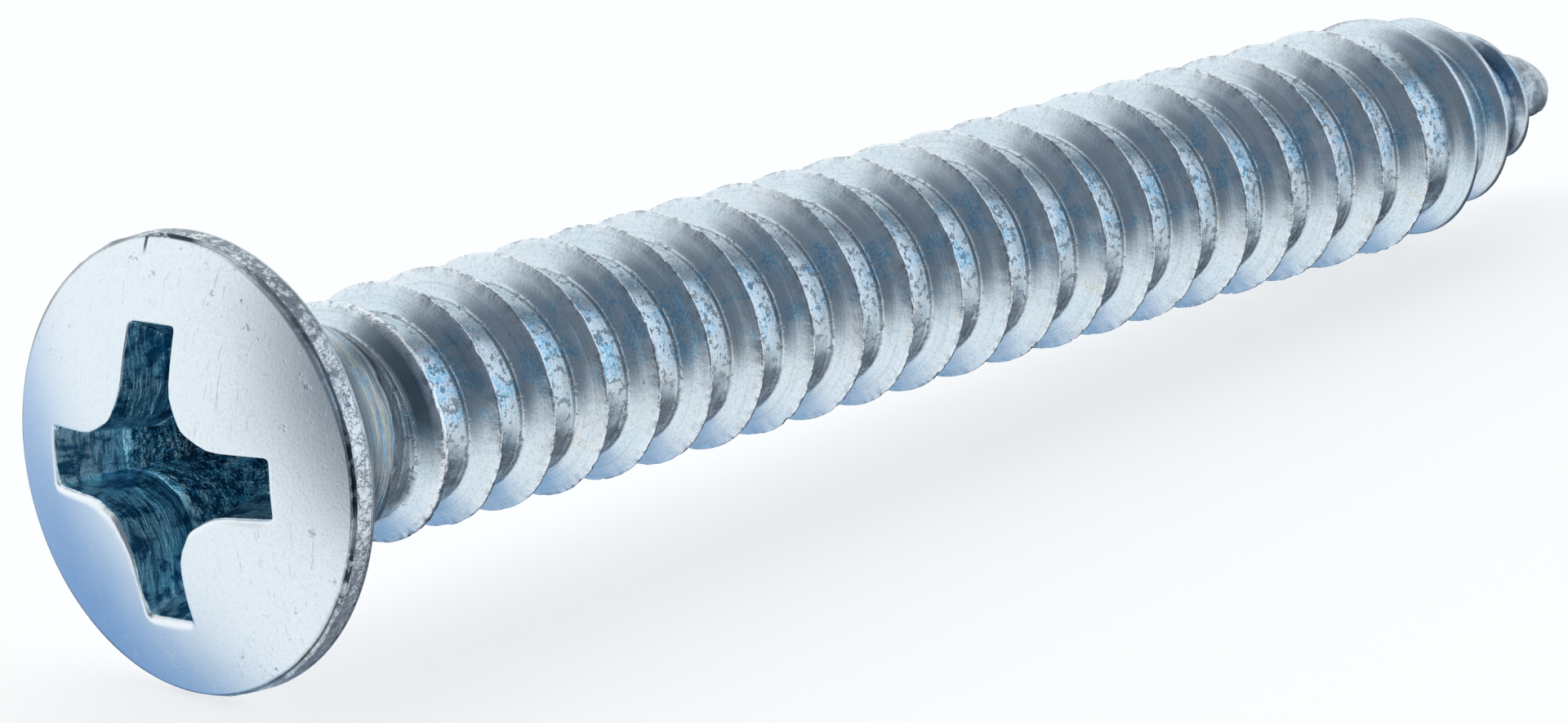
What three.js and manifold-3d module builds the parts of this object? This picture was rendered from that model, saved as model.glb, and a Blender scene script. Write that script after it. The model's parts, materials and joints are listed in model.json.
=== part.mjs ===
// Raised countersunk, cross recessed, fully threaded steel screw, nominal size 6.3 x 50 mm.
// Millimetres. The screw's axis is +X and points from the head to the tip. The origin is on the
// axis in the seat plane, where the 90 degree countersink cone meets the head's narrow rim.
import * as THREE from 'three';
import { ConvexGeometry } from 'three/addons/geometries/ConvexGeometry.js';
import { mergeVertices } from 'three/addons/utils/BufferGeometryUtils.js';
import Module from 'manifold-3d';

// ---- driving dimensions -------------------------------------------------------------------
const HEAD_DIAMETER = 10.8;
const RIM_THICKNESS = 0.7;
const RIM_EDGE = 0.06; // chamfer where the dome meets the rim
const DOME_HEIGHT = 1.35;
const NECK_DIAMETER = 5.4; // unthreaded stub between the cone and the first turn
const NECK_END = 3.4;
const NECK_STEP = 0.25; // axial length of the step down from the neck to the thread root
const NECK_OVERLAP = 0.1; // how far the neck's end reaches below the thread root

const THREAD_DIAMETER = 6.0;
const CORE_DIAMETER = 4.7;
const PITCH = 1.8;
const CREST_WIDTH = 0.09;
const FLANK_ANGLE = 30; // degrees from a plane square to the axis
const THREAD_START_ANGLE = -58; // where the helix crosses x = 0, in degrees from +Y towards +Z
const RUN_IN_START = 3.1; // the crest rises out of the neck from here
const RUN_IN_END = 5.1;
const LOWEST_RIDGE = 0.03; // keeps the thread's profile open where the ridge has faded

const SHANK_START = 1.2; // the shank's solid starts inside the head
const TIP_X = 49.3;
const TIP_DIAMETER = 0.9; // blunt end
const TIP_TAPER_START = 42.4; // the crests curve in to the point from here
const TIP_TAPER_POWER = 1.75;
const RIDGE_FADE_START = 43.8;
const RIDGE_FADE_END = 48.8; // the ridge has sunk into the point here
const RIDGE_FADE_POWER = 1.5;

// Cross recess, type H, driver number 3.
const RECESS_ROTATION = -4; // degrees about the axis
const RECESS_END_DEPTH = 3.2; // from a wing's outer edge, on the dome, to its end wall's foot
const RECESS_END_RADIUS = 1.905; // foot of the end walls
const RECESS_END_TAPER = 26.5; // degrees from the axis
const WING_WIDTH = 0.82; // at the foot of the end walls
const WING_DRAFT = 5.75; // degrees, each side
const NOSE_DISTANCE = 0.86; // from the recess centre lines to the corner between two wings
const NOSE_DRAFT = 6.8; // degrees
const NOSE_ANGLE = 146; // degrees between the two flared faces that meet at a corner
const FLOOR_SLOPE = 28; // degrees from a plane square to the axis
const FLOOR_RADIUS = 0.9; // flat floor in the middle
const CUTTER_HEIGHT = 3; // how far the cutter stands above the wings' outer edges

const HEAD_SIDES = 56;
const STEPS_PER_TURN = 24;
const DOME_STEPS = 6;
const MERGE_DISTANCE = 1e-5;

const radians = THREE.MathUtils.degToRad;
const tan = (degrees) => Math.tan(radians(degrees));
const clamp01 = (value) => THREE.MathUtils.clamp(value, 0, 1);
const coreRadius = CORE_DIAMETER / 2;
const ridgeHeight = (THREAD_DIAMETER - CORE_DIAMETER) / 2;
const neckRadius = NECK_DIAMETER / 2;
const headRadius = HEAD_DIAMETER / 2;
const domeBaseRadius = headRadius - RIM_EDGE;
const domeSphereRadius = (domeBaseRadius ** 2 + DOME_HEIGHT ** 2) / (2 * DOME_HEIGHT);
const domeApexX = -RIM_THICKNESS - DOME_HEIGHT;

// ---- solids -------------------------------------------------------------------------------
const wasm = await Module();
wasm.setup();

function toSolid(geometry) {
  const bare = geometry.index ? geometry.toNonIndexed() : geometry.clone();
  bare.deleteAttribute('normal');
  bare.deleteAttribute('uv');
  const merged = mergeVertices(bare, MERGE_DISTANCE);
  const mesh = new wasm.Mesh({
    numProp: 3,
    vertProperties: new Float32Array(merged.attributes.position.array),
    triVerts: new Uint32Array(merged.index.array),
  });
  return new wasm.Manifold(mesh);
}

function toGeometry(solid) {
  const mesh = solid.getMesh();
  const geometry = new THREE.BufferGeometry();
  geometry.setAttribute('position', new THREE.BufferAttribute(mesh.vertProperties, 3));
  geometry.setIndex(new THREE.BufferAttribute(mesh.triVerts, 1));
  geometry.computeVertexNormals();
  return geometry;
}

// A body of revolution about +X. The profile holds [x, radius] pairs, from the head to the tip.
function revolved(profile, sides) {
  const points = profile.map(([x, radius]) => new THREE.Vector2(radius, x));
  const geometry = new THREE.LatheGeometry(points, sides);
  geometry.rotateZ(-Math.PI / 2);
  return toSolid(geometry);
}

// ---- head ---------------------------------------------------------------------------------
function domeX(radius) {
  return domeApexX + domeSphereRadius - Math.sqrt(domeSphereRadius ** 2 - radius ** 2);
}

function makeHead() {
  const profile = [];
  for (let i = 0; i <= DOME_STEPS; i += 1) {
    const radius = (domeBaseRadius * i) / DOME_STEPS;
    profile.push([domeX(radius), radius]);
  }
  profile.push([-RIM_THICKNESS + RIM_EDGE, headRadius]);
  profile.push([0, headRadius]);
  profile.push([headRadius - neckRadius, neckRadius]);
  profile.push([NECK_END, neckRadius]);
  profile.push([NECK_END + NECK_STEP, coreRadius - NECK_OVERLAP]);
  profile.push([NECK_END + NECK_STEP, 0]);
  return revolved(profile, HEAD_SIDES);
}

// ---- threaded shank -----------------------------------------------------------------------
const share = (x, start, end) => clamp01((x - start) / (end - start));

// The ridge's full height, which fades towards the point.
function fullHeightAt(x) {
  return ridgeHeight * (1 - share(x, RIDGE_FADE_START, RIDGE_FADE_END) ** RIDGE_FADE_POWER);
}

function coreRadiusAt(x) {
  const taper = share(x, TIP_TAPER_START, TIP_X) ** TIP_TAPER_POWER;
  const crestRadius = (THREAD_DIAMETER / 2) * (1 - taper);
  const core = Math.min(coreRadius, crestRadius - fullHeightAt(x));
  return Math.max(core, TIP_DIAMETER / 2);
}

// The ridge's height over the core: it rises out of the neck, runs full, and fades at the tip.
function ridgeHeightAt(x) {
  const runIn = share(x, RUN_IN_START, RUN_IN_END);
  const rising = THREE.MathUtils.lerp(neckRadius - coreRadius, ridgeHeight, runIn);
  return Math.max(LOWEST_RIDGE, Math.min(rising, fullHeightAt(x)));
}

// The thread's surface is one grid wound round the axis: a row runs along the helix, and four
// rows make the profile, foot, crest edge, crest edge, foot. The root strip joins the last row
// to the first row of the next turn. A fan closes each end.
function makeShank() {
  const steps = Math.floor(((TIP_X - PITCH - SHANK_START) / PITCH) * STEPS_PER_TURN);
  const crest = CREST_WIDTH / 2;
  const positions = [];
  const addPoint = (step, offset, isCrest) => {
    const x = SHANK_START + (PITCH * step) / STEPS_PER_TURN;
    const angle = radians(THREAD_START_ANGLE) + (2 * Math.PI * x) / PITCH;
    const height = ridgeHeightAt(x);
    const reach = isCrest ? crest : crest + height * tan(FLANK_ANGLE);
    const pointX = Math.min(x + offset * reach, TIP_X);
    const radius = coreRadiusAt(pointX) + (isCrest ? height : 0);
    positions.push(pointX, radius * Math.cos(angle), radius * Math.sin(angle));
    return positions.length / 3 - 1;
  };
  const feet = [];
  for (let step = 0; step <= steps + STEPS_PER_TURN; step += 1) {
    feet.push(addPoint(step, -1, false));
  }
  const profileRows = [feet];
  for (const [offset, isCrest] of [[-1, true], [1, true], [1, false]]) {
    const row = [];
    for (let step = 0; step <= steps; step += 1) row.push(addPoint(step, offset, isCrest));
    profileRows.push(row);
  }
  profileRows.push(feet.slice(STEPS_PER_TURN));

  const triangles = [];
  for (let row = 0; row < profileRows.length - 1; row += 1) {
    const near = profileRows[row];
    const far = profileRows[row + 1];
    for (let step = 0; step < steps; step += 1) {
      triangles.push(near[step], far[step + 1], far[step]);
      triangles.push(near[step], near[step + 1], far[step + 1]);
    }
  }
  const closeEnd = (start, centreX, reversed) => {
    const loop = profileRows.map((row) => row[start]);
    for (let step = start + STEPS_PER_TURN - 1; step > start; step -= 1) loop.push(feet[step]);
    positions.push(centreX, 0, 0);
    const centre = positions.length / 3 - 1;
    loop.forEach((point, i) => {
      const next = loop[(i + 1) % loop.length];
      triangles.push(centre, ...(reversed ? [point, next] : [next, point]));
    });
  };
  closeEnd(0, SHANK_START + PITCH / 2, true);
  closeEnd(steps, TIP_X, false);

  const geometry = new THREE.BufferGeometry();
  geometry.setAttribute('position', new THREE.Float32BufferAttribute(positions, 3));
  geometry.setIndex(triangles);
  return toSolid(geometry);
}

// ---- cross recess -------------------------------------------------------------------------
// The cutter's half sizes at a depth: negative depths lie above the wings' outer edges.
function recessSection(depth) {
  const up = RECESS_END_DEPTH - depth;
  const wing = WING_WIDTH / 2 + up * tan(WING_DRAFT);
  const nose = NOSE_DISTANCE + (up * tan(NOSE_DRAFT)) / Math.SQRT2;
  const flare = nose + (nose - wing) / tan((NOSE_ANGLE - 90) / 2);
  return { end: RECESS_END_RADIUS + up * tan(RECESS_END_TAPER), wing, nose, flare };
}

function recessPair(corners, edgeX) {
  const top = recessSection(-CUTTER_HEIGHT);
  const foot = recessSection(RECESS_END_DEPTH);
  const floorX = edgeX + RECESS_END_DEPTH + (RECESS_END_RADIUS - FLOOR_RADIUS) * tan(FLOOR_SLOPE);
  const shrink = FLOOR_RADIUS / RECESS_END_RADIUS;
  const levels = [
    { x: edgeX - CUTTER_HEIGHT, outline: corners(top), scale: 1 },
    { x: edgeX + RECESS_END_DEPTH, outline: corners(foot), scale: 1 },
    { x: floorX, outline: corners(foot), scale: shrink },
  ];
  const points = levels.flatMap(({ x, outline, scale }) => outline.flatMap(([y, z]) => [
    new THREE.Vector3(x, y * scale, z * scale),
    new THREE.Vector3(x, -y * scale, z * scale),
    new THREE.Vector3(x, y * scale, -z * scale),
    new THREE.Vector3(x, -y * scale, -z * scale),
  ]));
  return new ConvexGeometry(points);
}

function makeRecess(edgeX) {
  const wings = ({ end, wing }) => [[end, wing]];
  const flares = ({ flare, wing, nose }) => [[flare, wing], [nose, nose]];
  const pieces = [];
  for (const turn of [0, 90]) {
    for (const corners of [wings, flares]) {
      const piece = recessPair(corners, edgeX);
      piece.rotateX(radians(turn + RECESS_ROTATION));
      pieces.push(toSolid(piece));
    }
  }
  return pieces.reduce((whole, piece) => whole.add(piece));
}

// ---- the screw ----------------------------------------------------------------------------
function makeScrew() {
  const wingEdgeX = domeX(RECESS_END_RADIUS + RECESS_END_DEPTH * tan(RECESS_END_TAPER));
  return makeHead().add(makeShank()).subtract(makeRecess(wingEdgeX));
}

const zincPlatedSteel = new THREE.MeshStandardMaterial({
  name: 'zinc_plated_steel',
  color: 0xb4bcc4,
  metalness: 1,
  roughness: 0.36,
});

const screw = new THREE.Mesh(toGeometry(makeScrew()), zincPlatedSteel);
screw.name = 'screw';

const part = new THREE.Group();
part.add(screw);

export default part;
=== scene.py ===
"""Looks of the raised countersunk, cross recessed, fully threaded screw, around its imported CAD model.

The screw is one mesh, wound as a single closed grid: recess floor, recess walls, dome, rim, cone,
neck, helical thread and point. Sizes below are in millimetres; the axis is +X, head to tip.
"""

import json
import math
from types import SimpleNamespace

import bpy
import numpy as np
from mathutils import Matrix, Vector, noise


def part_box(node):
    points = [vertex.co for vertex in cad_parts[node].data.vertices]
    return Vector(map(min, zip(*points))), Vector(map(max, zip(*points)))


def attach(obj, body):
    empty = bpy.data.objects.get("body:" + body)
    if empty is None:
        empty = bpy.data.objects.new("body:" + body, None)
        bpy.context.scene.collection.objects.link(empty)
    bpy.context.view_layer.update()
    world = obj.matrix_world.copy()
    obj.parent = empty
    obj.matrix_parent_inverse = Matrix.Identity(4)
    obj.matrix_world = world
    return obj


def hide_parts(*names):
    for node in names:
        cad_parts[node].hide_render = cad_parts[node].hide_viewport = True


MM = 0.001

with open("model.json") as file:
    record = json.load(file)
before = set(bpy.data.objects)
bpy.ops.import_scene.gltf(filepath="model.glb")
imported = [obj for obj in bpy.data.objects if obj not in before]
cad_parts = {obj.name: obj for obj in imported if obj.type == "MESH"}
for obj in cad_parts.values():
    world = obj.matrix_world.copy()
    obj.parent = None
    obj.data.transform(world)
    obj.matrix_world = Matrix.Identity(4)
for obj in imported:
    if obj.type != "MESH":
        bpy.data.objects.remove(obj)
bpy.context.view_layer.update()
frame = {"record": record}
_, node_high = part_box("screw")
mounts = {mount["name"]: mount for mount in frame["record"]["mounts"]}

# ---- sizes from the frame -------------------------------------------------------------------
TIP_X = node_high.x / MM
HEAD_RADIUS = node_high.y / MM
FLOOR_X = mounts["recess_floor"]["pos_m"][0] / MM

# ---- head -----------------------------------------------------------------------------------
RIM_THICKNESS = 0.7
DOME_HEIGHT = 1.35
EDGE_SET_BACK = 0.06                # the dome and the cone end this far inside the rim
DOME_BASE = HEAD_RADIUS - EDGE_SET_BACK
DOME_SPHERE = (DOME_BASE**2 + DOME_HEIGHT**2) / (2 * DOME_HEIGHT)
DOME_APEX = -RIM_THICKNESS - DOME_HEIGHT
NECK_RADIUS = 2.7
NECK_END = 3.4
NECK_FILLET = 0.16
NECK_COLLAR = 0.03
GROOVE_STEPS = ((0.0, 0.07, 0.2), (0.24, 0.32, 0.16))    # start and end past the neck, depth
CONE_ROWS = 12

# ---- thread ---------------------------------------------------------------------------------
PITCH = 1.8
CREST_RADIUS = 3.0
CORE_RADIUS = 2.35
CREST_WIDTH = 0.08
FIRST_CREST_EXTRA = 0.14            # the crest is this much wider where it starts
FLANK_ANGLE = 30.0
CREST_BLEND = 0.02
ROOT_BLEND = 0.03
ROOT_STEP = 0.035
THREAD_PHASE = math.radians(-58.0)  # angle from +Y towards +Z where the crest crosses x = 0
RUN_IN = (3.1, 5.1)
TIP_TAPER_START = 42.4
TIP_TAPER_POWER = 1.75
RIDGE_FADE = (43.8, 48.8)
RIDGE_FADE_POWER = 1.5
TIP_NOSE = 2.2                      # length of the blunt nose at the very end
TIP_NOSE_RADIUS = 1.2
TIP_NOSE_POWERS = (1.8, 0.68)        # how full the nose is at its end and at its side
LAST_CREST = (45.6, 47.2)           # the last crest lies between these
TIP_STRETCH = (40.4, 42.6, 0.3)     # the last turns lie this much further on
TRIM_X = (46.75, 47.1)              # past here the point is trimmed flat below
TRIM_Z = -0.32
TRIM_BLEND = 0.015
TIP_GAP = 0.12                      # the helical grid stops this far before the tip

# ---- cross recess, type H, number 3 ---------------------------------------------------------
RECESS_ROTATION = math.radians(-4.0)
RECESS_DEPTH = 3.2
RECESS_FOOT = 1.905
RECESS_TAPER = 26.5
WING_WIDTH = 0.82
WING_DRAFT = 5.75
NOSE_DISTANCE = 0.86
NOSE_DRAFT = 6.8
NOSE_ANGLE = 146.0
FLOOR_RADIUS = 0.9
EDGE_ROUNDING = 0.035
LOWER_EDGE_ROUNDING = 0.17
WALL_STEP_DEPTH = 0.8
WALL_STEP = 0.035
ROUGH_DEPTH = 1.6
WALL_LEVELS = 34
DOME_RINGS = 30
RECESS_WAVE = 0.35                  # size of the hammered bumps on its floor and walls

# ---- camera ---------------------------------------------------------------------------------
CAMERA_AZIMUTH = math.radians(-47.9)
CAMERA_ELEVATION = math.radians(15.05)
CAMERA_DISTANCE = 245.0
CAMERA_TARGET = (17.67, -1.77, -0.88)
CAMERA_LENS = 234.8

FLOOR_GAP = 0.02
FLOOR_SIDE = 3.0                    # metres


def tan(degrees):
    return math.tan(math.radians(degrees))


def clamp(value, low=0.0, high=1.0):
    return np.clip(value, low, high)


def smooth_max(a, b, width):
    return (a + b + np.sqrt((a - b) ** 2 + width**2)) / 2


def smooth_min(a, b, width):
    return (a + b - np.sqrt((a - b) ** 2 + width**2)) / 2


def ramp(value, start, end):
    """0 before start, 1 after end, smooth between."""
    t = clamp((value - start) / (end - start))
    return t * t * (3 - 2 * t)


def noise_at(points, scale, seed):
    """Gradient noise of about -1 to 1 at each point, with features of that size in millimetres."""
    shift = Vector((seed * 17.3, seed * 5.1, seed * 11.7))
    return np.array([noise.noise(Vector(p) / scale + shift) for p in points])


# ---- outline of the recess ------------------------------------------------------------------
CORNER_POINTS = {"nose": 3, "flare": 3, "end": 4}
CORNER_ROUNDING = {"nose": 0.16, "flare": 0.3, "end": 0.14}
EDGE_POINTS = {("nose", "flare"): 4, ("flare", "end"): 5, ("end", "end"): 5}


def recess_corners(depth):
    """Corners of the recess's section at a depth below its outer edges: (kind, y, z) in order."""
    up = RECESS_DEPTH - depth
    wing = WING_WIDTH / 2 + up * tan(WING_DRAFT)
    nose = NOSE_DISTANCE + up * tan(NOSE_DRAFT) / math.sqrt(2)
    flare = nose + (nose - wing) / tan((NOSE_ANGLE - 90) / 2)
    end = RECESS_FOOT + up * tan(RECESS_TAPER)
    one_wing = [
        ("nose", nose, -nose),
        ("flare", flare, -wing),
        ("end", end, -wing),
        ("end", end, wing),
        ("flare", flare, wing),
    ]
    corners = []
    for quarter in range(4):
        angle = quarter * math.pi / 2 + RECESS_ROTATION
        c, s = math.cos(angle), math.sin(angle)
        corners += [(kind, y * c - z * s, y * s + z * c) for kind, y, z in one_wing]
    return corners


def recess_outline(depth):
    """The section as a closed loop of points, its corners rounded, the same count at any depth."""
    corners = recess_corners(depth)
    count = len(corners)
    loop = []
    for i, (kind, y, z) in enumerate(corners):
        corner = np.array((y, z))
        before = np.array(corners[i - 1][1:])
        after_kind, *after = corners[(i + 1) % count]
        after = np.array(after)
        cut = CORNER_ROUNDING[kind]
        start = corner + (before - corner) / np.linalg.norm(before - corner) * cut
        stop = corner + (after - corner) / np.linalg.norm(after - corner) * cut
        for t in np.linspace(0, 1, CORNER_POINTS[kind]):
            loop.append((1 - t) ** 2 * start + 2 * t * (1 - t) * corner + t**2 * stop)
        next_cut = CORNER_ROUNDING[after_kind]
        edge_end = after + (corner - after) / np.linalg.norm(corner - after) * next_cut
        inner = EDGE_POINTS.get((kind, after_kind)) or EDGE_POINTS[(after_kind, kind)]
        for t in np.linspace(0, 1, inner + 2)[1:-1]:
            loop.append((1 - t) * stop + t * edge_end)
    return np.array(loop)


COLUMNS = len(recess_outline(0.0))
FIRST_ANGLE = RECESS_ROTATION - math.pi / 4
ANGLES = FIRST_ANGLE + 2 * math.pi * np.arange(COLUMNS) / COLUMNS


def dome_x(radius):
    return DOME_APEX + DOME_SPHERE - np.sqrt(DOME_SPHERE**2 - radius**2)


RECESS_EDGE_X = float(dome_x(RECESS_FOOT + RECESS_DEPTH * tan(RECESS_TAPER)))


def outward(loop):
    """Unit normals of a closed anticlockwise loop, pointing out of it."""
    along = np.roll(loop, -1, axis=0) - np.roll(loop, 1, axis=0)
    normal = np.stack([along[:, 1], -along[:, 0]], axis=1)
    return normal / np.linalg.norm(normal, axis=1)[:, None]


# ---- the grid -------------------------------------------------------------------------------
class Grid:
    """Collects vertices, faces and the zone that each vertex lies in."""

    ZONES = (
        "crest", "root", "groove", "seam", "neck", "recess", "rough", "worn", "rim", "crack", "dome",
        "stain", "beak",
    )

    def __init__(self):
        self.points = []
        self.faces = []
        self.zones = {zone: [] for zone in self.ZONES}

    def add(self, points, **zones):
        first = len(self.points)
        self.points.extend(map(tuple, points))
        for zone, values in self.zones.items():
            given = zones.get(zone, 0.0)
            values.extend(np.broadcast_to(given, len(points)).tolist())
        return np.arange(first, first + len(points))

    def ring_faces(self, a, b):
        """Quads between two closed rings, a nearer the head's middle."""
        for k in range(len(a)):
            n = (k + 1) % len(a)
            self.faces.append((a[k], a[n], b[n], b[k]))

    def fan(self, ring, centre, reverse):
        for k in range(len(ring)):
            n = (k + 1) % len(ring)
            face = (centre, ring[k], ring[n])
            self.faces.append(face[::-1] if reverse else face)


def ring_at(x, radius, angles=ANGLES):
    x = np.broadcast_to(x, len(angles))
    radius = np.broadcast_to(radius, len(angles))
    return np.stack([x, radius * np.cos(angles), radius * np.sin(angles)], axis=1)


def recess_wall_point(depth):
    """The wall's points at one depth per column, found on the straight lines down the wall."""
    top, foot = recess_outline(0.0), recess_outline(RECESS_DEPTH)
    share = (depth / RECESS_DEPTH)[:, None]
    return top + (foot - top) * share


def recess_edge_depth():
    """How deep below the wing edges each column of the wall meets the dome."""
    depth = np.zeros(COLUMNS)
    for _ in range(30):
        radius = np.linalg.norm(recess_wall_point(depth), axis=1)
        depth = dome_x(radius) - RECESS_EDGE_X
    return depth


def wind_recess(grid, edge_depth, rounding):
    """Floor and walls of the recess. Returns its rings and the depth where the walls end."""
    foot = recess_outline(RECESS_DEPTH)
    foot_x = RECESS_EDGE_X + RECESS_DEPTH
    inner = FLOOR_RADIUS / RECESS_FOOT
    centre = grid.add([(FLOOR_X, 0, 0)], recess=1.0, rough=1.0)[0]
    rings = []
    for scale in (inner / 2, inner, inner + (1 - inner) * 0.35, inner + (1 - inner) * 0.7):
        slope = clamp((scale - inner) / (1 - inner))
        points = foot * scale
        x = FLOOR_X + (foot_x - FLOOR_X) * slope
        solid = np.column_stack([np.full(COLUMNS, x), points])
        solid[:, 0] += 0.03 * noise_at(solid, RECESS_WAVE, 8)
        rings.append(grid.add(solid, recess=1.0, rough=1.0))
    grid.fan(rings[0], centre, reverse=True)

    top_depth = edge_depth + rounding
    for share in np.linspace(0, 1, WALL_LEVELS):
        depth = RECESS_DEPTH + (top_depth - RECESS_DEPTH) * share
        plan = recess_wall_point(depth)
        normals = outward(plan)
        rough = ramp(depth, ROUGH_DEPTH - 0.1, ROUGH_DEPTH + 0.15)
        solid = np.column_stack([RECESS_EDGE_X + depth, plan])
        dent = WALL_STEP * ramp(depth, WALL_STEP_DEPTH - 0.04, WALL_STEP_DEPTH + 0.04)
        dent += rough * 0.05 * noise_at(solid, RECESS_WAVE, 9)
        dent *= clamp(share * 8) * clamp((1 - share) * 12)
        solid[:, 1:] -= normals * dent[:, None]
        rings.append(grid.add(solid, recess=1.0, rough=rough))
    return rings, top_depth


def wind_head(grid):
    """Recess, its rounded edge, dome and rim. Returns the ring at the seat plane."""
    edge_depth = recess_edge_depth()
    edge = recess_wall_point(edge_depth)
    normals = outward(edge)
    edge_x = dome_x(np.linalg.norm(edge, axis=1))
    # The blow that made the recess leaned: its lower edges are rolled over more than its upper.
    lower = ramp(-normals[:, 1], -0.1, 0.7)
    rounding = EDGE_ROUNDING + (LOWER_EDGE_ROUNDING - EDGE_ROUNDING) * lower
    edge_solid = np.column_stack([edge_x, edge])
    rounding *= 1 + 0.35 * noise_at(edge_solid, 0.5, 10)
    rounding = np.mean([np.roll(rounding, k) for k in range(-3, 4)], axis=0)

    rings, top_depth = wind_recess(grid, edge_depth, rounding)
    wall_top = np.column_stack([RECESS_EDGE_X + top_depth, recess_wall_point(top_depth)])
    plan = edge + normals * rounding[:, None]
    dome_start = np.column_stack([dome_x(np.linalg.norm(plan, axis=1)), plan])
    for t in (0.2, 0.4, 0.6, 0.8, 1.0):
        points = (1 - t) ** 2 * wall_top + 2 * t * (1 - t) * edge_solid + t**2 * dome_start
        # The rounded edge carries wear and a painted highlight, stronger on its lower side.
        worn = (0.45 + 0.55 * lower) * math.sin(math.pi * t)
        rings.append(grid.add(points, recess=clamp(0.8 - 3 * t), dome=t, worn=worn))

    rim_plan = DOME_BASE * np.stack([np.cos(ANGLES), np.sin(ANGLES)], axis=1)
    # A cracked line runs between the dome and the rim; behind it the rim ends in a smooth edge.
    front, back = -RIM_THICKNESS, 0.0
    # The same noise sets the groove's depth and how dark its painted shade is.
    crack = clamp(0.7 + 1.1 * noise_at(ring_at(front, HEAD_RADIUS), 0.8, 11), 0.15, 1.4)
    for share in np.linspace(0, 1, DOME_RINGS + 1)[1:]:
        points = plan * (1 - share) + rim_plan * share
        radius = np.linalg.norm(points, axis=1)
        at_edge = crack if share == 1 else 0.0
        rings.append(grid.add(np.column_stack([dome_x(radius), points]), dome=1.0, crack=at_edge))

    profile = [
        (front + 0.02, DOME_BASE - 0.04 * crack, 0.0),
        (front + 0.05, DOME_BASE - 0.06 * crack, 0.0),
        (front + 0.08, DOME_BASE - 0.03 * crack, 0.0),
        (front + 0.1, HEAD_RADIUS - 0.03, 0.0),
        *[(x, HEAD_RADIUS, 1.0) for x in np.linspace(front + 0.12, back - 0.16, 9)],
        (back - 0.12, HEAD_RADIUS, 0.3),
        (back - 0.07, HEAD_RADIUS - 0.01, 0.0),
        (back - 0.03, HEAD_RADIUS - 0.035, 0.0),
        (back + 0.01, HEAD_RADIUS - 0.07, 0.0),
    ]
    for x, radius, rim in profile:
        in_crack = 1.0 if x < front + 0.11 else 0.0
        rings.append(grid.add(ring_at(x, radius), rim=rim, crack=in_crack * crack))
    for a, b in zip(rings, rings[1:]):
        grid.ring_faces(a, b)
    return rings[-1]


# ---- shank ----------------------------------------------------------------------------------
def tip_share(x):
    return clamp((x - TIP_TAPER_START) / (TIP_X - TIP_TAPER_START))


def crest_radius(x):
    """Radius of the thread's crest where it is fully grown, with the long taper to the point."""
    return CREST_RADIUS * (1 - tip_share(x) ** TIP_TAPER_POWER)


def ridge_height(x):
    fade = clamp((x - RIDGE_FADE[0]) / (RIDGE_FADE[1] - RIDGE_FADE[0]))
    return (CREST_RADIUS - CORE_RADIUS) * (1 - fade**RIDGE_FADE_POWER)


def core_radius(x):
    core = np.minimum(CORE_RADIUS, crest_radius(x) - ridge_height(x))
    nose = clamp((x - TIP_X + TIP_NOSE) / TIP_NOSE)
    full, round_off = TIP_NOSE_POWERS
    blunt = TIP_NOSE_RADIUS * (1 - nose**full) ** round_off
    return np.where(nose > 0, np.maximum(core, blunt), core)


def top_radius(x):
    """Radius of the crest, which rises out of the neck on its first turn."""
    missing = (CREST_RADIUS - NECK_RADIUS) * (1 - clamp((x - RUN_IN[0]) / (RUN_IN[1] - RUN_IN[0])))
    return np.maximum(crest_radius(x), core_radius(x)) - missing


def crest_width(x):
    """The crest is wide and unfinished where the thread starts."""
    return CREST_WIDTH + FIRST_CREST_EXTRA * (1 - ramp(x, 4.2, 6.2))


def head_side_radius(x):
    """Cone, fillet and neck, then the stepped groove, which ends where the thread takes over."""
    cone = DOME_BASE - x
    step = sum(depth * ramp(x, NECK_END + start, NECK_END + end) for start, end, depth in GROOVE_STEPS)
    rises, falls = ramp(x, NECK_END - 0.2, NECK_END - 0.12), ramp(x, NECK_END, NECK_END + 0.03)
    collar = NECK_COLLAR * (rises - falls)
    gone = CREST_RADIUS * ramp(x, NECK_END + 0.62, NECK_END + 1.2)
    return smooth_max(cone, NECK_RADIUS - step + collar, NECK_FILLET) - gone


def neck_share(x):
    """The turning marks are faint on the cone and plain on the neck."""
    return 0.3 * ramp(x, 0.1, 0.4) + 0.7 * ramp(x, 2.0, 2.7)


def crest_offset(x, angle):
    """Axial distance from the nearest crest line, between minus and plus half a pitch."""
    start, end, stretch = TIP_STRETCH
    turns = (x - stretch * ramp(x, start, end)) / PITCH - (angle - THREAD_PHASE) / (2 * math.pi)
    return (turns - np.round(turns)) * PITCH


def trimmed(radius, x, angle):
    """The point is cut flat below by the pointing dies."""
    below = np.minimum(np.sin(angle), -1e-3)
    depth = TRIM_Z - CREST_RADIUS * (1 - ramp(x, *TRIM_X))
    return np.where(np.sin(angle) < -1e-3, smooth_min(radius, depth / below, TRIM_BLEND), radius)


def shank_radius(x, angle):
    signed = crest_offset(x, angle)
    offset = np.abs(signed)
    core = core_radius(x)
    top = top_radius(x - signed)
    flank = top - (offset - crest_width(x) / 2) / tan(FLANK_ANGLE)
    ridge = smooth_min(flank, top, CREST_BLEND)
    # Where the head side flank meets the root, the rolling die leaves a small step.
    height = ridge_height(x)
    foot = -(CREST_WIDTH / 2 + height * tan(FLANK_ANGLE))
    step = ROOT_STEP * ramp(signed, foot - 0.11, foot - 0.09) * ramp(-signed, -foot - 0.1, -foot)
    threaded = smooth_max(ridge, core + step * ramp(height, 0.1, 0.5), ROOT_BLEND)
    radius = np.maximum(smooth_max(threaded, head_side_radius(x), CREST_BLEND), 0.02)
    return trimmed(radius, x, angle)


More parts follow.
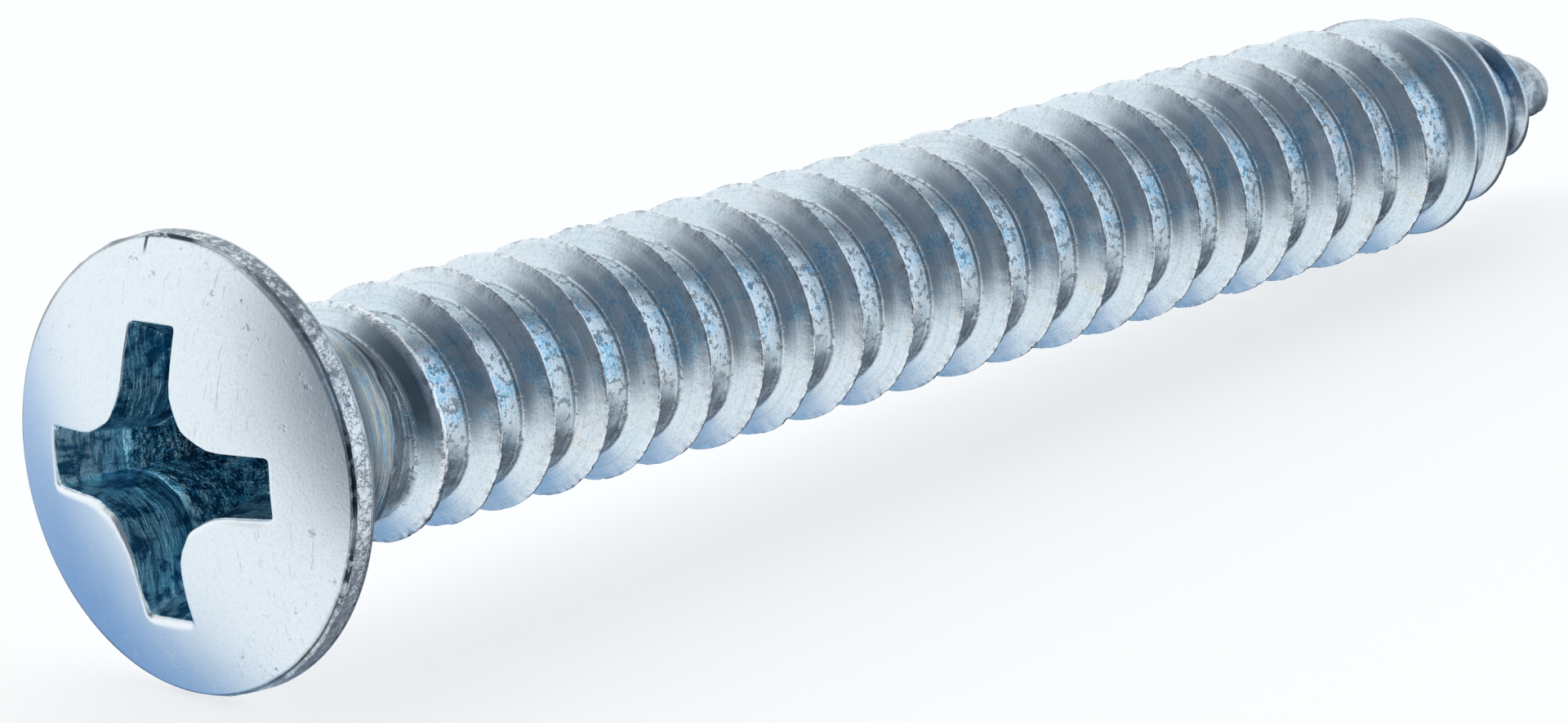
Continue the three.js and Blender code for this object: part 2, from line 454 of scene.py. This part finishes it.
def profile_offsets():
    """Where the grid's rows lie across one pitch, counted from the middle of the root."""
    half = CREST_WIDTH / 2
    foot = half + (CREST_RADIUS - CORE_RADIUS) * tan(FLANK_ANGLE)
    side = [PITCH / 2, foot + 0.2, foot + 0.115, foot + 0.085, foot + 0.03, foot - 0.04]
    side += [foot - 0.2, half + 0.03, half * 0.7]
    before = [PITCH / 2 - w for w in side]
    after = [PITCH / 2 + w for w in reversed(side[1:])]
    return np.array([*before, PITCH / 2, *after])


def shank_points(x, angle):
    radius = shank_radius(x, angle)
    points = np.stack([x, radius * np.cos(angle), radius * np.sin(angle)], axis=1)
    signed = crest_offset(x, angle)
    offset = np.abs(signed)
    foot = CREST_WIDTH / 2 + ridge_height(x) * tan(FLANK_ANGLE)
    threaded = ramp(x, NECK_END + 0.3, NECK_END + 0.7)
    half = crest_width(x) / 2
    past_neck = ramp(x, NECK_END - 0.05, NECK_END + 0.02)
    off_ridge = 1 - ramp(half + 0.4 - offset, 0.0, 0.1)
    # Where the painted shade in the step at the flank's foot goes.
    seam = ramp(-signed, foot + 0.03, foot + 0.07) * (1 - ramp(-signed, foot + 0.09, foot + 0.13))
    begins, ends = (ramp(x - signed, at - 0.1, at) for at in LAST_CREST)
    zones = {
        "seam": seam * threaded,
        # The band before the last crest that carries a painted shadow.
        "stain": begins * (1 - ends) * ramp(signed, -0.6, -0.35) * ramp(-signed, 0.05, 0.12),
        "beak": np.maximum(begins * ramp(signed, 0.05, 0.12), ends),
        "neck": neck_share(x) * (1 - past_neck),
        "crest": (1 - ramp(offset, half, half + 0.05)) * threaded,
        "root": ramp(offset, foot - 0.02, foot + 0.03) * threaded,
        "groove": past_neck * off_ridge * (1 - ramp(x, 4.1, 4.5)),
    }
    return points, zones


def wind_shank(grid, seat_ring):
    """Cone, neck, thread and point as one helical grid between two rings."""
    offsets = profile_offsets()
    rows = len(offsets)
    middle = FIRST_ANGLE - THREAD_PHASE
    start = (PITCH * middle / (2 * math.pi) - PITCH / 2) % PITCH
    if start < 0.6:
        start += PITCH
    last = int((TIP_X - TIP_GAP - start - PITCH) / PITCH * COLUMNS)
    end = start + PITCH * (last + COLUMNS) / COLUMNS

    for x in np.linspace(0.08, start, CONE_ROWS)[:-1]:
        ring = grid.add(ring_at(x, head_side_radius(x)), neck=float(neck_share(x)))
        grid.ring_faces(seat_ring, ring)
        seat_ring = ring

    def add_columns(steps, x):
        points, zones = shank_points(x, FIRST_ANGLE + 2 * math.pi * steps / COLUMNS)
        return grid.add(points, **zones)

    all_steps = np.arange(last + COLUMNS + 1)
    base = [add_columns(all_steps, start + PITCH * all_steps / COLUMNS)]
    body_steps = all_steps[: last + 1]
    for offset in offsets[1:]:
        base.append(add_columns(body_steps, start + PITCH * body_steps / COLUMNS + offset))
    base.append(base[0][COLUMNS:])

    for near, far in zip(base, base[1:]):
        for i in range(last):
            grid.faces.append((near[i], near[i + 1], far[i + 1], far[i]))

    steps = np.arange(1, COLUMNS)
    # The wedge that widens from the ring at the start to a full pitch.
    lower = add_columns(steps, np.full(COLUMNS - 1, start))
    ring = np.concatenate([base[0][:1], lower])
    grid.ring_faces(seat_ring, ring)
    columns = [np.full(rows + 1, base[0][0])]
    inner = [lower]
    for offset in offsets[1:]:
        inner.append(add_columns(steps, start + offset * steps / COLUMNS))
    inner.append(base[0][1:COLUMNS])
    columns += [np.array([row[k] for row in inner]) for k in range(COLUMNS - 1)]
    columns.append(np.array([row[0] for row in base]))
    stitch(grid, columns)
    # The wedge that narrows from a full pitch to the ring at the end.
    upper = add_columns(steps + last, np.full(COLUMNS - 1, end))
    inner = [base[0][last + 1 : last + COLUMNS]]
    for offset in offsets[1:]:
        x = start + PITCH * (last + steps) / COLUMNS
        inner.append(add_columns(steps + last, x + (end - x) * offset / PITCH))
    inner.append(upper)
    columns = [np.array([row[last] for row in base])]
    columns += [np.array([row[k] for row in inner]) for k in range(COLUMNS - 1)]
    columns.append(np.full(rows + 1, base[0][last + COLUMNS]))
    stitch(grid, columns)
    return np.concatenate([base[0][last + COLUMNS :], upper]), end, last


def stitch(grid, columns):
    """Faces between neighbouring columns; where one has shrunk to a point they are triangles."""
    for left, right in zip(columns, columns[1:]):
        for j in range(len(left) - 1):
            corners = [left[j], right[j], right[j + 1], left[j + 1]]
            face = [corners[0]]
            for corner in corners[1:]:
                if corner != face[-1] and corner != face[0]:
                    face.append(corner)
            if len(face) > 2:
                grid.faces.append(tuple(face))


def wind_tip(grid, ring, end, last):
    """The last bit of the nose, closed on the axis of what the trimming left."""
    angles = FIRST_ANGLE + 2 * math.pi * (last + np.arange(COLUMNS)) / COLUMNS
    for share in (0.4, 0.7, 0.9, 0.98):
        x = np.full(COLUMNS, end + (TIP_X - end) * share)
        points = ring_at(x, trimmed(core_radius(x), x, angles), angles)
        inner = grid.add(points, beak=1.0)
        grid.ring_faces(ring, inner)
        ring = inner
    centre = grid.add([(TIP_X, 0, 0)], beak=1.0)[0]
    grid.fan(ring, centre, reverse=False)


def roughen(grid):
    """Chipped crests, pitted roots and the hammered rim, as real relief."""
    points = np.array(grid.points)
    zone = {name: np.array(values) for name, values in grid.zones.items()}
    radial = points.copy()
    radial[:, 0] = 0
    length = np.linalg.norm(radial, axis=1)
    radial /= np.maximum(length, 1e-6)[:, None]
    away = np.zeros(len(points))
    axial = np.zeros(len(points))
    crest = zone["crest"] > 0.01
    fine, coarse = noise_at(points[crest], 0.16, 1), noise_at(points[crest], 0.7, 2)
    chips = np.maximum(fine - 0.15 + 0.25 * coarse, 0)
    away[crest] -= zone["crest"][crest] * (0.07 * chips + 0.01 * coarse)
    axial[crest] += zone["crest"][crest] * 0.03 * noise_at(points[crest], 0.25, 3)
    root = zone["root"] > 0.01
    away[root] += zone["root"][root] * 0.012 * noise_at(points[root], 0.22, 4)
    rim = zone["rim"] > 0.01
    hammer = 0.035 * noise_at(points[rim], 0.4, 5) + 0.02 * noise_at(points[rim], 0.17, 6)
    away[rim] += zone["rim"][rim] * (hammer - 0.02)
    axial[rim] += zone["rim"][rim] * 0.015 * noise_at(points[rim], 0.25, 7)
    points += radial * away[:, None]
    points[:, 0] += axial
    return points


def make_screw():
    grid = Grid()
    seat_ring = wind_head(grid)
    ring, end, last = wind_shank(grid, seat_ring)
    wind_tip(grid, ring, end, last)
    points = roughen(grid)
    mesh = bpy.data.meshes.new("screw_surface")
    mesh.from_pydata((points * MM).tolist(), [], [tuple(map(int, f)) for f in grid.faces])
    for name, values in grid.zones.items():
        layer = mesh.attributes.new(name, "FLOAT", "POINT")
        layer.data.foreach_set("value", np.array(values, np.float32))
    mesh.shade_smooth()
    mesh.validate(verbose=True)
    screw = bpy.data.objects.new("screw_surface", mesh)
    bpy.context.collection.objects.link(screw)
    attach(screw, "root")
    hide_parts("screw")
    return screw


# ---- material -------------------------------------------------------------------------------
class Nodes:
    """Short names for the shader nodes that a material is made of."""

    def __init__(self, name):
        self.material = bpy.data.materials.new(name)
        self.material.use_nodes = True
        self.tree = self.material.node_tree
        self.shader = self.tree.nodes["Principled BSDF"]

    def feed(self, socket, value):
        if isinstance(value, bpy.types.NodeSocket):
            self.tree.links.new(value, socket)
        elif value is not None:
            socket.default_value = value

    def attribute(self, name):
        node = self.tree.nodes.new("ShaderNodeAttribute")
        node.attribute_name = name
        return node.outputs["Fac"]

    def math(self, operation, a, b=None):
        node = self.tree.nodes.new("ShaderNodeMath")
        node.operation = operation
        self.feed(node.inputs[0], a)
        self.feed(node.inputs[1], b)
        return node.outputs[0]

    def add(self, *values):
        total = values[0]
        for value in values[1:]:
            total = self.math("ADD", total, value)
        return total

    def times(self, *values):
        total = values[0]
        for value in values[1:]:
            total = self.math("MULTIPLY", total, value)
        return total

    def less(self, value):
        return self.math("SUBTRACT", 1.0, value)

    def split(self, vector):
        node = self.tree.nodes.new("ShaderNodeSeparateXYZ")
        self.feed(node.inputs[0], vector)
        return node.outputs

    def join(self, x, y, z):
        node = self.tree.nodes.new("ShaderNodeCombineXYZ")
        for socket, value in zip(node.inputs, (x, y, z)):
            self.feed(socket, value)
        return node.outputs[0]

    def stretch(self, vector, scale=(1.0, 1.0, 1.0), turn=(0.0, 0.0, 0.0)):
        node = self.tree.nodes.new("ShaderNodeMapping")
        self.feed(node.inputs["Vector"], vector)
        node.inputs["Scale"].default_value = scale
        node.inputs["Rotation"].default_value = [math.radians(angle) for angle in turn]
        return node.outputs[0]

    def noise(self, vector, per_unit, detail=2.0, rough=0.5):
        node = self.tree.nodes.new("ShaderNodeTexNoise")
        self.feed(node.inputs["Vector"], vector)
        node.inputs["Scale"].default_value = per_unit
        node.inputs["Detail"].default_value = detail
        node.inputs["Roughness"].default_value = rough
        return node.outputs["Fac"]

    def span(self, value, start, end, low=0.0, high=1.0):
        """The low value up to the start, the high one from the end, smooth between."""
        node = self.tree.nodes.new("ShaderNodeMapRange")
        node.interpolation_type = "SMOOTHSTEP"
        self.feed(node.inputs["Value"], value)
        limits = {"From Min": start, "From Max": end, "To Min": low, "To Max": high}
        for socket, number in limits.items():
            node.inputs[socket].default_value = number
        return node.outputs["Result"]

    def mix(self, share, a, b):
        node = self.tree.nodes.new("ShaderNodeMix")
        node.data_type = "RGBA"
        self.feed(node.inputs["Factor"], share)
        for socket, value in (("A", a), ("B", b)):
            colour = (*value, 1) if isinstance(value, tuple) else value
            self.feed(node.inputs[socket], colour)
        return node.outputs["Result"]

    def relief(self, height):
        """Bump of a height given in millimetres."""
        node = self.tree.nodes.new("ShaderNodeBump")
        node.inputs["Distance"].default_value = MM
        node.inputs["Strength"].default_value = 1.0
        self.feed(node.inputs["Height"], height)
        return node.outputs["Normal"]


ZINC = (0.72, 0.82, 0.89)
BLUE_FILM_AND_REFLECTION = (0.25, 0.66, 0.96)
YELLOW_FILM_AND_REFLECTION = (0.78, 0.72, 0.55)
SOOT_AND_SHADE = (0.22, 0.27, 0.31)
DEEP_SOOT_AND_SHADE = (0.04, 0.06, 0.08)
BRIGHT_AND_HIGHLIGHT = (0.93, 0.97, 1.0)
MOTTLE = (0.50, 0.57, 0.63)
DOME_REFLECTION_BLUE = (0.46, 0.66, 0.92)
TEAL_LIT = (0.66, 0.92, 1.0)
TEAL = (0.26, 0.72, 0.95)
TEAL_DARK_AND_SHADE = (0.04, 0.19, 0.32)
SHADOW_BLUE = (0.03, 0.12, 0.25)


# Sides of the thread for the films' painted reflection and for the painted shade, in degrees from +Y
# towards +Z.
DARK_BAND_SIDE = 152
GOLDEN_REFLECTION_SIDE = 184
ROOT_SHADE_SIDE = 211
NICK_SIDE = 78
LINES_ACROSS = 9.0                  # rolling marks across one turn of the thread


def survey(n):
    """The places, zones and patterns that the layers of the material share."""
    coords = n.tree.nodes.new("ShaderNodeTexCoord").outputs["Object"]
    place = n.stretch(coords, (1 / MM,) * 3)
    s = SimpleNamespace(place=place, **{name: n.attribute(name) for name in Grid.ZONES})
    s.x, s.y, s.z = n.split(place)
    s.threaded = n.math("MAXIMUM", n.less(n.add(s.recess, s.rim, s.dome, s.crack)), 0.0)
    s.radius = n.math("SQRT", n.add(n.times(s.y, s.y), n.times(s.z, s.z)))
    s.cloud = n.noise(place, 0.45, 3.0, 0.55)
    s.patches = n.noise(place, 1.3, 4.0, 0.6)
    s.smudges = n.noise(n.stretch(place, turn=(40, 15, 70)), 1.9, 5.0, 0.7)
    s.grain = n.noise(place, 14.0, 3.0, 0.6)
    # Rolling marks: noise on a circle that turns once a pitch, so that it follows the thread.
    turn = n.math("SUBTRACT", n.times(s.x, 2 * math.pi / PITCH), n.math("ARCTAN2", s.z, s.y))
    rolled = n.join(
        n.times(n.math("COSINE", turn), LINES_ACROSS),
        n.times(n.math("SINE", turn), LINES_ACROSS),
        n.times(s.x, 1.6),
    )
    s.rolling = n.noise(rolled, 1.0, 3.0, 0.65)
    # Turning marks on the neck and in the groove behind it run straight round.
    s.turned = n.noise(n.stretch(place, (11.0, 0.35, 0.35)), 1.0, 4.0, 0.7)
    s.pits = n.times(s.root, n.span(n.noise(place, 5.5, 3.0, 0.65), 0.54, 0.66))
    s.vein = n.noise(place, 2.2, 5.0, 0.7)
    s.cracks = n.span(n.math("ABSOLUTE", n.add(s.vein, -0.5)), 0.022, 0.005)
    s.drawn = n.noise(n.stretch(place, (4.5, 0.8, 0.8), (0, 12, 8)), 1.6, 3.0, 0.65)
    s.crinkle = n.noise(place, 3.6, 3.0, 0.7)
    s.scratches = n.times(dome_scratches(n, place), s.dome)
    outer = n.times(s.dome, n.span(s.radius, 3.4, 5.3))
    s.scuffs = n.times(outer, n.span(n.noise(place, 2.6, 4.0, 0.75), 0.62, 0.7))
    return s


def dome_scratches(n, place):
    """Faint straight scratches in three directions."""
    scratches = None
    for angle, threshold in ((20, 0.66), (75, 0.68), (130, 0.67)):
        streaks = n.noise(n.stretch(place, (1.0, 9.0, 0.5), (angle, 0, 0)), 1.4, 3.0, 0.7)
        line = n.span(streaks, threshold, threshold + 0.06)
        scratches = line if scratches is None else n.math("MAXIMUM", scratches, line)
    return scratches


def facing(n, s, degrees):
    """Cosine of the angle round the axis from that side, counted from +Y towards +Z."""
    side_y, side_z = math.cos(math.radians(degrees)), math.sin(math.radians(degrees))
    return n.math("DIVIDE", n.add(n.times(s.y, side_y), n.times(s.z, side_z)), s.radius)


def paint_films_and_reflections(n, s, colour):
    """Blue and yellow passivation film in patches on the thread, kept mostly to two sides as painted
    reflection.
    """
    # Part film, part painted reflection: the blue keeps to the side where the dark band of reflection
    # lies, the yellow to the side beside it.
    blue_reflection_side = n.span(facing(n, s, DARK_BAND_SIDE), 0.84, 0.97, 0.12, 1.0)
    blue = n.times(n.span(s.patches, 0.46, 0.6), n.span(s.grain, 0.38, 0.58), s.threaded, blue_reflection_side)
    colour = n.mix(n.times(blue, 0.85), colour, BLUE_FILM_AND_REFLECTION)
    golden_reflection_side = n.span(facing(n, s, GOLDEN_REFLECTION_SIDE), 0.8, 0.96, 0.2, 1.0)
    spots = n.times(n.span(s.smudges, 0.54, 0.68), n.span(s.grain, 0.4, 0.6))
    return n.mix(n.times(spots, s.threaded, golden_reflection_side, 0.75), colour, YELLOW_FILM_AND_REFLECTION)


def paint_grime_and_shade(n, s, colour):
    """Painted shade on the roots' lower side, painted shadow on the first turns, dark rolling marks and
    grain, and painted shade in the seam.
    """
    # Painted shade: the roots darken on their lower front side, where the next crest hides them.
    root_shade = n.times(s.root, n.span(facing(n, s, ROOT_SHADE_SIDE), 0.97, 0.99), n.span(s.patches, 0.36, 0.5))
    colour = n.mix(n.times(root_shade, 0.7), colour, SOOT_AND_SHADE)
    # Painted shadow of the head on one side of the first turns.
    shadow_side = n.span(facing(n, s, DARK_BAND_SIDE), 0.6, 0.95)
    first_turns_shadow = n.times(s.threaded, n.span(s.x, 7.0, 4.6), shadow_side)
    colour = n.mix(n.times(first_turns_shadow, n.less(s.crest), n.less(s.root), 0.7), colour, SOOT_AND_SHADE)
    colour = n.mix(n.times(n.span(s.rolling, 0.5, 0.66), s.threaded, 0.2), colour, SOOT_AND_SHADE)
    colour = n.mix(n.times(n.span(s.grain, 0.5, 0.68), 0.2), colour, SOOT_AND_SHADE)
    # Painted shade: a dark line in the small step at the foot of each head side flank.
    return n.mix(n.times(s.seam, 0.75), colour, SOOT_AND_SHADE)


def paint_neck(n, s, colour):
    """Coloured turning marks on the neck; in the groove behind it, dark turning marks under painted
    shade.
    """
    film = n.noise(n.stretch(s.place, (6.0, 0.5, 0.5)), 1.0, 3.0, 0.7)
    colour = n.mix(n.times(s.neck, n.span(film, 0.5, 0.6), 0.5), colour, YELLOW_FILM_AND_REFLECTION)
    colour = n.mix(n.times(s.neck, n.span(film, 0.46, 0.38), 0.5), colour, BLUE_FILM_AND_REFLECTION)
    colour = n.mix(n.times(s.neck, n.span(s.turned, 0.5, 0.62), 0.5), colour, SOOT_AND_SHADE)
    # Painted shade darkens the whole groove, more in its turning marks.
    groove_shade = n.times(s.groove, n.span(s.turned, 0.36, 0.52, 0.25, 0.95))
    return n.mix(groove_shade, colour, SOOT_AND_SHADE)


def paint_wear_and_highlight(n, s, colour):
    """Pits in the roots, specks all over, and crests painted bright as a highlight, with dark chips."""
    colour = n.mix(n.times(s.pits, 0.5), colour, SOOT_AND_SHADE)
    speck = n.noise(n.stretch(s.place, turn=(15, 60, 30)), 6.0, 2.0, 0.5)
    colour = n.mix(n.times(n.span(speck, 0.74, 0.8), 0.6), colour, SOOT_AND_SHADE)
    # Painted highlight: the narrow crests are lightened for the light they catch.
    colour = n.mix(n.times(s.crest, 0.8), colour, BRIGHT_AND_HIGHLIGHT)
    chips = n.times(s.crest, n.span(n.noise(s.place, 4.0, 3.0, 0.7), 0.5, 0.6))
    return n.mix(n.times(chips, 0.75), colour, SOOT_AND_SHADE)


def paint_point(n, s, colour):
    """A dark blue painted shadow before the last crest, and the mottled pinched end."""
    # Painted shadow in the band on the head side of the last crest.
    shadowed = n.times(s.stain, n.span(s.patches, 0.4, 0.55, 0.2, 0.85))
    colour = n.mix(shadowed, colour, SHADOW_BLUE)
    pinch = n.mix(n.span(n.noise(s.place, 2.4, 4.0, 0.7), 0.42, 0.58), SOOT_AND_SHADE, MOTTLE)
    return n.mix(n.times(s.beak, 0.85), colour, pinch)


def paint_dome(n, s, colour):
    """Scratches, scuffs towards the rim, one nick in the edge, and a blue painted reflection to one
    side.
    """
    colour = n.mix(n.times(s.scratches, 0.25), colour, MOTTLE)
    colour = n.mix(n.times(s.scuffs, 0.7), colour, SOOT_AND_SHADE)
    colour = n.mix(n.times(s.dome, n.less(s.scuffs), 0.5), colour, BRIGHT_AND_HIGHLIGHT)
    nick = n.times(
        n.span(n.add(facing(n, s, NICK_SIDE), n.times(s.smudges, 0.0001)), 0.99997, 1.00004),
        n.span(s.radius, 4.9, 5.15),
        n.add(s.dome, s.crack),
    )
    colour = n.mix(n.times(nick, 0.9), colour, DEEP_SOOT_AND_SHADE)
    # Painted reflection: the dome turns blue on its side towards +Y and -Z.
    reflection_side = n.span(n.add(n.times(s.y, 0.82), n.times(s.z, -0.58)), 0.9, 4.8)
    return n.mix(n.times(s.dome, reflection_side, 0.75), colour, DOME_REFLECTION_BLUE)


def paint_rim(n, s, colour):
    """The rim is hammered by the heading tool: mottled, finely cracked, with painted shade on its upper
    side and in the crack before it.
    """
    hammer = n.noise(s.place, 3.6, 5.0, 0.75)
    rim_colour = n.mix(n.span(hammer, 0.36, 0.52), MOTTLE, BRIGHT_AND_HIGHLIGHT)
    # Painted shade: the rim darkens towards its top.
    mottle_and_top_shade = n.add(hammer, n.span(s.z, 1.5, 4.8, 0.06, -0.14))
    rim_colour = n.mix(n.span(mottle_and_top_shade, 0.44, 0.36, 0.0, 0.85), rim_colour, SOOT_AND_SHADE)
    rim_colour = n.mix(n.times(s.cracks, 0.75), rim_colour, SOOT_AND_SHADE)
    colour = n.mix(n.times(s.rim, 0.95), colour, rim_colour)
    # Painted shade in the cracked groove between the dome and the rim.
    crack_shade = n.times(s.crack, n.span(s.vein, 0.4, 0.52, 0.3, 1.0))
    return n.mix(n.times(crack_shade, 0.95), colour, DEEP_SOOT_AND_SHADE)


def paint_recess(n, s, colour):
    """A blue-green tint with painted shade deeper down and painted light towards -Y, darker in the
    lines that the punch drew, with painted glints and shade on its rough patch; its edges worn and
    painted bright as a highlight.
    """
    # Painted shade: lighter near the dome, darker deeper down.
    stain = n.mix(n.span(s.x, -1.3, 0.7), TEAL_LIT, TEAL)
    # Painted light: the walls towards -Y are lighter.
    stain = n.mix(n.span(s.y, -1.4, -2.8, 0.0, 0.8), stain, BRIGHT_AND_HIGHLIGHT)
    stain = n.mix(n.span(s.drawn, 0.5, 0.62, 0.0, 0.75), stain, TEAL_DARK_AND_SHADE)
    blotch = n.noise(n.stretch(s.place, (0.6, 1.0, 1.0)), 1.6, 4.0, 0.65)
    stain = n.mix(n.span(blotch, 0.48, 0.62), stain, TEAL_DARK_AND_SHADE)
    # Painted shade and painted glints in the crinkles of the rough patch.
    stain = n.mix(n.times(s.rough, n.span(s.crinkle, 0.48, 0.4)), stain, TEAL_DARK_AND_SHADE)
    stain = n.mix(n.times(s.rough, n.span(s.crinkle, 0.52, 0.6)), stain, TEAL_LIT)
    colour = n.mix(s.recess, colour, stain)
    # Painted highlight on the rounded edges of the recess, on top of their wear.
    return n.mix(s.worn, colour, BRIGHT_AND_HIGHLIGHT)


LAYERS = (
    paint_films_and_reflections, paint_grime_and_shade, paint_neck, paint_wear_and_highlight, paint_point, paint_dome, paint_rim, paint_recess
)


def zinc_relief(n, s):
    """Height of the finest marks, in millimetres."""
    wall_lines = n.noise(n.stretch(s.place, (0.25, 1.0, 1.0)), 7.0, 2.0, 0.6)
    return n.add(
        n.times(s.threaded, s.rolling, 0.004),
        n.times(s.grain, 0.003),
        n.times(s.pits, -0.015),
        n.times(s.crest, n.noise(s.place, 9.0, 2.0, 0.6), 0.02),
        n.times(s.scratches, -0.003),
        n.times(s.scuffs, -0.01),
        n.times(s.rim, n.noise(s.place, 4.0, 4.0, 0.65), 0.06),
        n.times(s.rim, s.cracks, -0.02),
        n.times(s.recess, wall_lines, 0.03),
        n.times(s.recess, s.drawn, 0.05),
        n.times(s.rough, s.crinkle, 0.6),
        n.times(n.add(s.neck, s.groove), s.turned, 0.03),
    )


def make_zinc():
    """Satin zinc plating over rolled threads, with a thin blue and yellow passivation film."""
    n = Nodes("zinc_plated_steel")
    s = survey(n)
    colour = n.mix(n.span(s.cloud, 0.35, 0.7, 0.0, 0.35), ZINC, BRIGHT_AND_HIGHLIGHT)
    for paint in LAYERS:
        colour = paint(n, s, colour)
    n.feed(n.shader.inputs["Base Color"], colour)
    n.shader.inputs["Metallic"].default_value = 1.0

    roughness = n.span(s.cloud, 0.3, 0.7, 0.2, 0.3)
    roughness = n.add(roughness, n.times(n.span(s.grain, 0.4, 0.7), 0.08), n.times(s.rim, 0.1))
    roughness = n.add(roughness, n.times(s.rough, 0.1), n.times(s.pits, 0.15), n.times(s.scuffs, 0.2))
    n.feed(n.shader.inputs["Roughness"], roughness)
    n.feed(n.shader.inputs["Normal"], n.relief(zinc_relief(n, s)))
    return n.material


# ---- stage ----------------------------------------------------------------------------------
def make_floor():
    """A white floor that touches the rim and the thread's crests near the point."""
    touch_head = Vector((-RIM_THICKNESS / 2, 0, -HEAD_RADIUS)) * MM
    touch_tip = Vector((TIP_TAPER_START, 0, -CREST_RADIUS)) * MM
    slope = math.atan2(touch_tip.z - touch_head.z, touch_tip.x - touch_head.x)
    bpy.ops.mesh.primitive_plane_add(size=FLOOR_SIDE)
    floor = bpy.context.object
    floor.name = "floor"
    floor.rotation_euler = (0, -slope, 0)
    floor.location = touch_head - Vector((0, 0, FLOOR_GAP)) * MM
    material = bpy.data.materials.new("floor_white")
    material.use_nodes = True
    shader = material.node_tree.nodes["Principled BSDF"]
    shader.inputs["Base Color"].default_value = (0.6, 0.59, 0.57, 1)
    shader.inputs["Roughness"].default_value = 0.9
    shader.inputs["Emission Color"].default_value = (1, 1, 1, 1)
    shader.inputs["Emission Strength"].default_value = 0.62
    floor.data.materials.append(material)
    floor.visible_glossy = False


def view_back(azimuth, elevation):
    return Vector((
        math.sin(azimuth) * math.cos(elevation),
        -math.cos(azimuth) * math.cos(elevation),
        math.sin(elevation),
    ))


def make_camera():
    data = bpy.data.cameras.new("camera")
    data.lens = CAMERA_LENS
    data.sensor_width = 36.0
    data.clip_start = 0.01
    data.clip_end = 20.0
    camera = bpy.data.objects.new("camera", data)
    bpy.context.collection.objects.link(camera)
    back = view_back(CAMERA_AZIMUTH, CAMERA_ELEVATION)
    camera.location = (Vector(CAMERA_TARGET) + back * CAMERA_DISTANCE) * MM
    camera.rotation_mode = "QUATERNION"
    camera.rotation_quaternion = (-back).to_track_quat("-Z", "Y")
    bpy.context.scene.camera = camera


# The studio: a white surround with soft cards in it, set from what each face mirrors. Each
# is a direction, the angles in degrees where it is full and where it ends, and its colour.
SURROUND = (0.95, 0.98, 1.0)
DARK_FRONT = ((-0.5, -0.8, 0.5), 45, 80, (0.15, 0.18, 0.22))     # the head side of each turn
DARK_BELOW = ((0.7, 0.0, -0.7), 25, 45, (0.1, 0.12, 0.16))       # undersides of the roots
DARK_ABOVE = ((0.7, -0.2, 0.7), 10, 25, (0.1, 0.15, 0.2))        # the rim's upper side
BLUE_BEHIND = ((0.1, 0.7, -0.7), 10, 45, (0.3, 0.45, 0.65))      # the dome's lower side
WINDOW = ((0.7, -0.6, 0.3), 20, 40, (0.9, 1.0, 1.1))             # the roots that face the front
CARDS = (DARK_FRONT, DARK_BELOW, DARK_ABOVE, BLUE_BEHIND, WINDOW)


def make_light():
    world = bpy.data.worlds.new("studio")
    bpy.context.scene.world = world
    world.use_nodes = True
    nodes, links = world.node_tree.nodes, world.node_tree.links
    direction = nodes.new("ShaderNodeTexCoord").outputs["Generated"]
    light = None
    for towards, full, ends, colour in CARDS:
        along = nodes.new("ShaderNodeVectorMath")
        along.operation = "DOT_PRODUCT"
        along.inputs[1].default_value = Vector(towards).normalized()
        links.new(direction, along.inputs[0])
        inside = nodes.new("ShaderNodeMapRange")
        inside.interpolation_type = "SMOOTHSTEP"
        inside.inputs["From Min"].default_value = math.cos(math.radians(ends))
        inside.inputs["From Max"].default_value = math.cos(math.radians(full))
        links.new(along.outputs["Value"], inside.inputs["Value"])
        mix = nodes.new("ShaderNodeMix")
        mix.data_type = "RGBA"
        mix.inputs["A"].default_value = (*SURROUND, 1)
        mix.inputs["B"].default_value = (*colour, 1)
        links.new(inside.outputs["Result"], mix.inputs["Factor"])
        if light:
            links.new(light, mix.inputs["A"])
        light = mix.outputs["Result"]
    surround = nodes["Background"]
    links.new(light, surround.inputs["Color"])
    # Past the edge of the floor the camera sees plain white.
    backdrop = nodes.new("ShaderNodeBackground")
    backdrop.inputs["Color"].default_value = (1, 1, 1, 1)
    choose = nodes.new("ShaderNodeMixShader")
    links.new(nodes.new("ShaderNodeLightPath").outputs["Is Camera Ray"], choose.inputs["Fac"])
    links.new(surround.outputs[0], choose.inputs[1])
    links.new(backdrop.outputs[0], choose.inputs[2])
    links.new(choose.outputs[0], nodes["World Output"].inputs["Surface"])


make_camera()
make_light()
make_floor()
screw = make_screw()
screw.data.materials.append(make_zinc())
bpy.context.scene.view_settings.view_transform = "Standard"
